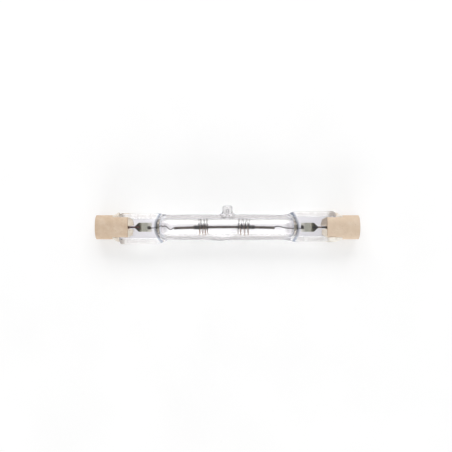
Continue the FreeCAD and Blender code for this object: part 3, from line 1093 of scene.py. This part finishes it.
def make_cement(name, end):
    """Cement as it set: the bed from the solid model, trimmed, remeshed fine, run out in front and lumpy."""
    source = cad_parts[name + "_cement"].data
    work = bmesh.new()
    work.from_mesh(source)
    bmesh.ops.remove_doubles(work, verts=work.verts, dist=1e-7)
    piece = as_piece(name + "_cement_bead", work, CEMENT)
    blocks = [trim_block(end["side"], *BEAD_PARTING)]
    for hand in end["bare_rails"]:
        reach = sorted((hand * BARE_LINE, hand * 2 * PINCH_HALF))
        blocks.append(trim_block(end["side"], *BARE_RUN, *reach))
    for block in blocks:
        trim = piece.modifiers.new("trim", "BOOLEAN")
        trim.object = block
    if end["drip"]:
        drop = bmesh.new()
        bmesh.ops.create_icosphere(drop, subdivisions=3, radius=1.0)
        for vert in drop.verts:
            vert.co = [(c + v * r) * MM for c, v, r in zip(DRIP_CENTRE, vert.co, DRIP_RADII)]
        blocks.append(as_piece("drip", drop, CEMENT))
        join = piece.modifiers.new("drip", "BOOLEAN")
        join.operation = "UNION"
        join.object = blocks[-1]
    voxels = piece.modifiers.new("even_mesh", "REMESH")
    voxels.mode = "VOXEL"
    voxels.voxel_size = CEMENT_VOXEL * MM
    voxels.use_smooth_shade = True
    soften = piece.modifiers.new("soften", "SMOOTH")
    soften.factor = 0.5
    soften.iterations = 3
    settle(piece)
    for block in blocks:
        bpy.data.meshes.remove(block.data)
    mesh = piece.data
    moved = []
    for vert in mesh.vertices:
        spot = vert.co / MM
        lump = sum(height * noise.noise(spot * closeness) for height, closeness in CEMENT_LUMPS)
        spot += vert.normal * (CEMENT_SWELL + lump)
        run = BEAD_RUN * (0.8 + 0.6 * noise.noise(Vector((0.0, spot.y * 0.5, 7.0 * end["side"]))))
        run *= 1 - (spot.y / CAP_RADIUS) ** 2
        ahead = max(CAP_INNER - abs(spot.x), 0.0) / BEAD_LENGTH
        spot.x -= end["side"] * run * min(ahead, 1.0)
        moved.extend(spot * MM)
    mesh.vertices.foreach_set("co", moved)
    mesh.update()
    mesh.materials.clear()
    mesh.materials.append(CEMENT)
    return stand_for(piece, name + "_cement")


# Filament and supports


def grown(name, tree, values, points, edges=()):
    """Plain mesh piece grown by a geometry tree from a few guide points."""
    mesh = bpy.data.meshes.new(name)
    mesh.from_pydata([(x * MM, y * MM, z * MM) for x, y, z in points], list(edges), [])
    piece = bpy.data.objects.new(name, mesh)
    bpy.context.scene.collection.objects.link(piece)
    modifier = piece.modifiers.new(name, "NODES")
    modifier.node_group = tree
    sockets = {item.name: item.identifier for item in tree.interface.items_tree if item.in_out == "INPUT"}
    for label, value in values.items():
        modifier[sockets[label]] = value
    settle(piece)
    return piece


def wire_mesh(tree, curve, radius, material, leave):
    """Last part of a wire tree: round section, smooth faces, real mesh, finish."""
    profile = node(tree, "GeometryNodeCurvePrimitiveCircle", Resolution=WIRE_SIDES, Radius=radius)
    drawn = node(tree, "GeometryNodeCurveToMesh", Curve=curve, Profile_Curve=profile, Fill_Caps=True)
    smooth = node(tree, "GeometryNodeSetShadeSmooth", Geometry=drawn)
    real = node(tree, "GeometryNodeRealizeInstances", Geometry=smooth)
    finish = node(tree, "GeometryNodeSetMaterial", Geometry=real, Material=material)
    feed(tree, leave.inputs["Geometry"], finish)


def coil_bow(x):
    """How far the middle of the coil lies off the lamp axis at a place along it."""
    return COIL_HIGH_POINT[1] - COIL_BOW * (x - COIL_HIGH_POINT[0]) ** 2


def filament_tree(sizes):
    """Coil as a spiral along the axis, bowed a little, joined by the legs that the guide points draw."""
    tree, sizes, leave = node_group("filament_wire", "GeometryNodeTree", sizes, ["Geometry"])
    spiral = node(
        tree,
        "GeometryNodeCurveSpiral",
        Resolution=COIL_POINTS_PER_TURN,
        Rotations=sizes["Turns"],
        Start_Radius=sizes["Coil radius"],
        End_Radius=sizes["Coil radius"],
        Height=sizes["Coil length"],
    )
    turn = node(tree, "ShaderNodeCombineXYZ", Z=sizes["Turn start"])
    turned_spiral = node(tree, "GeometryNodeTransform", Geometry=spiral, Rotation=turn)
    laid = node(
        tree,
        "GeometryNodeTransform",
        Geometry=turned_spiral,
        Rotation=(0.0, math.pi / 2, 0.0),
        Translation=node(tree, "ShaderNodeCombineXYZ", X=sizes["Coil start"]),
    )
    parts = amounts(tree, node(tree, "ShaderNodeSeparateXYZ", Vector=node(tree, "GeometryNodeInputPosition")))
    away = parts["X"] - sizes["High place"]
    lift = node(tree, "ShaderNodeCombineXYZ", Y=sizes["High level"] - away * away * sizes["Bow"])
    bowed = node(tree, "GeometryNodeSetPosition", Geometry=laid, Offset=lift)
    routes = node(tree, "GeometryNodeMeshToCurve", Mesh=sizes["Geometry"])
    bent = node(tree, "GeometryNodeCurveSplineType", {"spline_type": "CATMULL_ROM"}, Curve=routes)
    legs = node(tree, "GeometryNodeResampleCurve", {"mode": "LENGTH"}, Curve=bent, Length=sizes["Leg step"])
    joined = tree.nodes.new("GeometryNodeJoinGeometry")
    for route in (bowed, legs):
        feed(tree, joined.inputs["Geometry"], route)
    wire_mesh(tree, joined, sizes["Wire radius"], COIL_TUNGSTEN, leave)
    return tree


def make_filament():
    start_y = math.sqrt(COIL_MEAN**2 - LEG_LEVEL**2)
    points = []
    edges = []
    for end in ENDS.values():
        first = len(points)
        points.append((end["coil_end"], start_y + coil_bow(end["coil_end"]), LEG_LEVEL))
        points += [(x, y, LEG_LEVEL) for x, y in end["leg"]]
        edges += [(index, index + 1) for index in range(first, len(points) - 1)]
    sizes = {
        "Turns": COIL_TURNS,
        "Coil radius": COIL_MEAN * MM,
        "Coil length": (COIL_STOP - COIL_START) * MM,
        "Coil start": COIL_START * MM,
        "Turn start": math.atan2(start_y, -LEG_LEVEL),
        "High place": COIL_HIGH_POINT[0] * MM,
        "High level": COIL_HIGH_POINT[1] * MM,
        "Bow": COIL_BOW / MM,
        "Wire radius": FILAMENT_WIRE * MM,
        "Leg step": LEG_STEP * MM,
    }
    piece = grown("filament_coil", filament_tree(sizes), sizes, points, edges)
    return stand_for(piece, "filament")


def support_tree(sizes):
    """One wire: a tight grip on the coil, bunched in knots, a rise to the bore and loops back outwards."""
    tree, sizes, leave = node_group("filament_support", "GeometryNodeTree", sizes, ["Geometry"])
    grip_turns, pitch = sizes["Grip turns"], sizes["Loop pitch"]
    risen = grip_turns + sizes["Rise turns"]
    turns = risen + sizes["Loop turns"]
    guide = node(tree, "GeometryNodeMeshLine", Count=turns * SUPPORT_POINTS_PER_TURN + 1.0)
    route = node(tree, "GeometryNodeMeshToCurve", Mesh=guide)
    index = Amount(tree, tree.nodes.new("GeometryNodeInputIndex").outputs[0])
    turn = index / SUPPORT_POINTS_PER_TURN
    angle = turn * (2 * math.pi)
    gripped = turn.fade(0.0, grip_turns, sizes["Grip start"], sizes["Grip stop"], "LINEAR")
    looped = (turn - risen).larger(0.0)
    knot = (gripped - sizes["Grip stop"]) / pitch
    knot_angle = knot * (2 * math.pi)
    knotted = turn.fade(grip_turns - 1.0, grip_turns, 1.0, 0.0, "LINEAR") * knot.below(sizes["Knots"])
    bunch = knot_angle.sine() * knotted * (pitch * sizes["Knot bunch"])
    along = gripped - bunch / (2 * math.pi) + looped * pitch
    radius = turn.fade(grip_turns, risen, sizes["Grip radius"], sizes["Loop radius"])
    crest = knot_angle.cosine().fade(-1.0, 1.0, 0.0, sizes["Knot swell"], "LINEAR")
    swell = crest * knotted * radius
    radius = radius + swell
    spot = node(tree, "ShaderNodeCombineXYZ", X=turn, Y=sizes["Seed"])
    stray = node(tree, "ShaderNodeTexNoise", {"noise_dimensions": "2D"}, Vector=spot, Scale=0.8, Detail=1.0)
    lean = (amounts(tree, stray)["Fac"] - 0.5) * sizes["Unevenness"] * looped.smaller(1.0)
    level = turn.fade(grip_turns, risen, sizes["Grip level"], 0.0, "LINEAR")
    across = radius * angle.cosine() + level + swell
    spots = node(tree, "ShaderNodeCombineXYZ", X=along + lean, Y=across, Z=radius * angle.sine())
    wound = node(tree, "GeometryNodeSetPosition", Geometry=route, Position=spots)
    wire_mesh(tree, wound, sizes["Wire radius"], GRIP_TUNGSTEN, leave)
    return tree


def support_sizes(seed, end):
    return {
        "Grip start": end["grip"][0] * MM,
        "Grip stop": end["grip"][1] * MM,
        "Grip radius": GRIP_RADIUS * MM,
        "Grip turns": GRIP_TURNS,
        "Grip level": coil_bow(sum(end["grip"]) / 2) * MM,
        "Rise turns": RISE_TURNS,
        "Loop radius": LOOP_RADIUS * MM,
        "Loop turns": LOOP_TURNS,
        "Loop pitch": end["pitch"] * MM,
        "Knot swell": KNOT_SWELL,
        "Knot bunch": KNOT_BUNCH,
        "Knots": KNOTS,
        "Unevenness": LOOP_UNEVENNESS * MM,
        "Seed": 3.0 + 5.0 * seed,
        "Wire radius": SUPPORT_WIRE * MM,
    }


def make_supports():
    sizes = [support_sizes(seed, end) for seed, end in enumerate(ENDS.values())]
    tree = support_tree(sizes[0])
    for name, own_sizes in zip(ENDS, sizes):
        piece = grown(name + "_support_wire", tree, own_sizes, [(0, 0, 0)])
        stand_for(piece, name + "_filament_support")


# Foils and leads


def make_foil(name, end):
    """Sealing foil: thin, feathered at its long edges, a little rippled, with a tapered outer end."""
    start = CAVITY_END + end["foil_inset"]
    points = []
    rings = []
    for x in between(0.0, FOIL_LENGTH, 60):
        taper = smooth_step(FOIL_LENGTH - FOIL_TAPER, FOIL_LENGTH + 0.2, x)
        half = FOIL_HALF + (FOIL_TIP_HALF - FOIL_HALF) * taper
        half -= 0.12 * (1 - smooth_step(0.0, 0.25, x))
        ring = []
        for step in range(FOIL_SIDES):
            angle = 2 * math.pi * step / FOIL_SIDES
            y = half * math.cos(angle)
            edge = min(abs(math.sin(angle)) * 3, 1.0)
            ripple = FOIL_RIPPLE * noise.noise(Vector((x * 1.7, y * 0.9, end["shift"]))) - FOIL_RIPPLE
            z = FOIL_TOP - FOIL_THICKNESS / 2 + math.copysign(FOIL_THICKNESS / 2 * edge, math.sin(angle))
            z += ripple
            ring.append(((start + x) * end["side"], y, z))
        rings.append(add_ring(points, ring))
    faces = skin(rings) + [tuple(rings[0]), tuple(rings[-1])]
    work = new_bmesh(points, faces)
    bmesh.ops.recalc_face_normals(work, faces=work.faces)
    piece = as_piece(name + "_foil_strip", work, FOIL[name])
    layer = piece.data.uv_layers.new(name="along")
    for loop in piece.data.loops:
        spot = piece.data.vertices[loop.vertex_index].co / MM
        layer.data[loop.index].uv = ((abs(spot.x) - start) / FOIL_LENGTH, spot.y / FOIL_HALF / 2 + 0.5)
    return stand_for(piece, name + "_foil")


def make_lead(name, end):
    """Outer lead: pressed a little flat at its weld on the foil, round from there to the contact."""
    start = CAVITY_END + end["foil_inset"] + FOIL_LENGTH - LEAD_LAP
    stop = CONTACT_BACK + SOCKET_DEPTH
    profile = [(start, 0), (start, LEAD_RADIUS - LEAD_BEVEL), (start + LEAD_BEVEL, LEAD_RADIUS)]
    profile += [(x, LEAD_RADIUS) for x in between(start + 0.2, start + LEAD_LAP + 0.6, 14)]
    profile += [(x, LEAD_RADIUS) for x in between(start + LEAD_LAP + 0.8, stop, 12)]
    points, faces = turned(profile + [(stop, 0)], LEAD_SIDES)
    pressed = []
    for x, y, z in points:
        press = 1 - smooth_step(start + 0.9, start + LEAD_LAP + 0.2, x)
        z = (z + LEAD_RADIUS) * (1 - LEAD_PRESS * press) - LEAD_RADIUS
        pressed.append((x * end["side"], y * (1 + LEAD_SPREAD * press), z))
    work = new_bmesh(pressed, faces)
    bmesh.ops.recalc_face_normals(work, faces=work.faces)
    return stand_for(as_piece(name + "_lead_wire", work, LEAD[name]), name + "_lead")


make_envelope()
make_filament()
make_supports()
for name, end in ENDS.items():
    make_cap(name, end["side"])
    make_contact(name, end["side"])
    make_cement(name, end)
    make_foil(name, end)
    make_lead(name, end)


# Table, light and camera


def seen(tree):
    """One for what the camera sees, straight, in gloss or through glass; nothing for the rest."""
    path = amounts(tree, node(tree, "ShaderNodeLightPath"))
    return path["Is Camera Ray"].larger(path["Is Glossy Ray"]).larger(path["Is Transmission Ray"])


def table_finish():
    """Pale table: takes the lamp's shadow, and shows white to the camera, to gloss and through glass."""
    material, tree, shader = new_material("pale_table")
    tints = [(0.3, (0.55, 0.55, 0.55)), (0.7, (0.58, 0.58, 0.58))]
    values = {
        "Base Color": ramp(tree, mottle(tree, object_place(tree), 40.0, 2.0), tints),
        "Roughness": 0.9,
        "Specular IOR Level": 0.1,
        "Emission Color": WHITE,
        "Emission Strength": seen(tree) * 0.5,
    }
    for label, value in values.items():
        feed(tree, shader.inputs[label], value)
    return material


def make_table():
    half = TABLE_HALF
    level = -TUBE_RADIUS
    corners = [(-half, -half, level), (half, -half, level), (half, half, level), (-half, half, level)]
    table = as_piece("table", new_bmesh(corners, [(0, 1, 2, 3)]), table_finish())


def make_light(name, place, size, watts):
    data = bpy.data.lights.new(name, "AREA")
    data.shape = "RECTANGLE"
    data.size, data.size_y = size
    data.energy = watts
    lamp = bpy.data.objects.new(name, data)
    lamp.location = place
    lamp.rotation_euler = (-Vector(place)).to_track_quat("-Z", "Y").to_euler()
    bpy.context.scene.collection.objects.link(lamp)


def make_world():
    world = bpy.data.worlds.new("studio")
    world.use_nodes = True
    tree = world.node_tree
    backdrop = tree.nodes["Background"]
    feed(tree, backdrop.inputs["Color"], WHITE)
    feed(tree, backdrop.inputs["Strength"], seen(tree).fade(0.0, 1.0, 0.45, 1.0, "LINEAR"))
    bpy.context.scene.world = world


def make_camera():
    data = bpy.data.cameras.new("camera")
    data.lens = CAMERA_LENS
    data.sensor_width = 36.0
    data.clip_start = 0.01
    camera = bpy.data.objects.new("camera", data)
    camera.location = Vector(CAMERA_PLACE) * MM
    bpy.context.scene.collection.objects.link(camera)
    bpy.context.scene.camera = camera


make_table()
make_light("key_light", place=(0.0, 0.5, 0.35), size=(0.6, 0.3), watts=2.35)
make_light("fill_light", place=(0.0, -0.6, 0.16), size=(0.6, 0.2), watts=2.3)
make_world()
make_camera()
bpy.context.scene.view_settings.view_transform = "Standard"
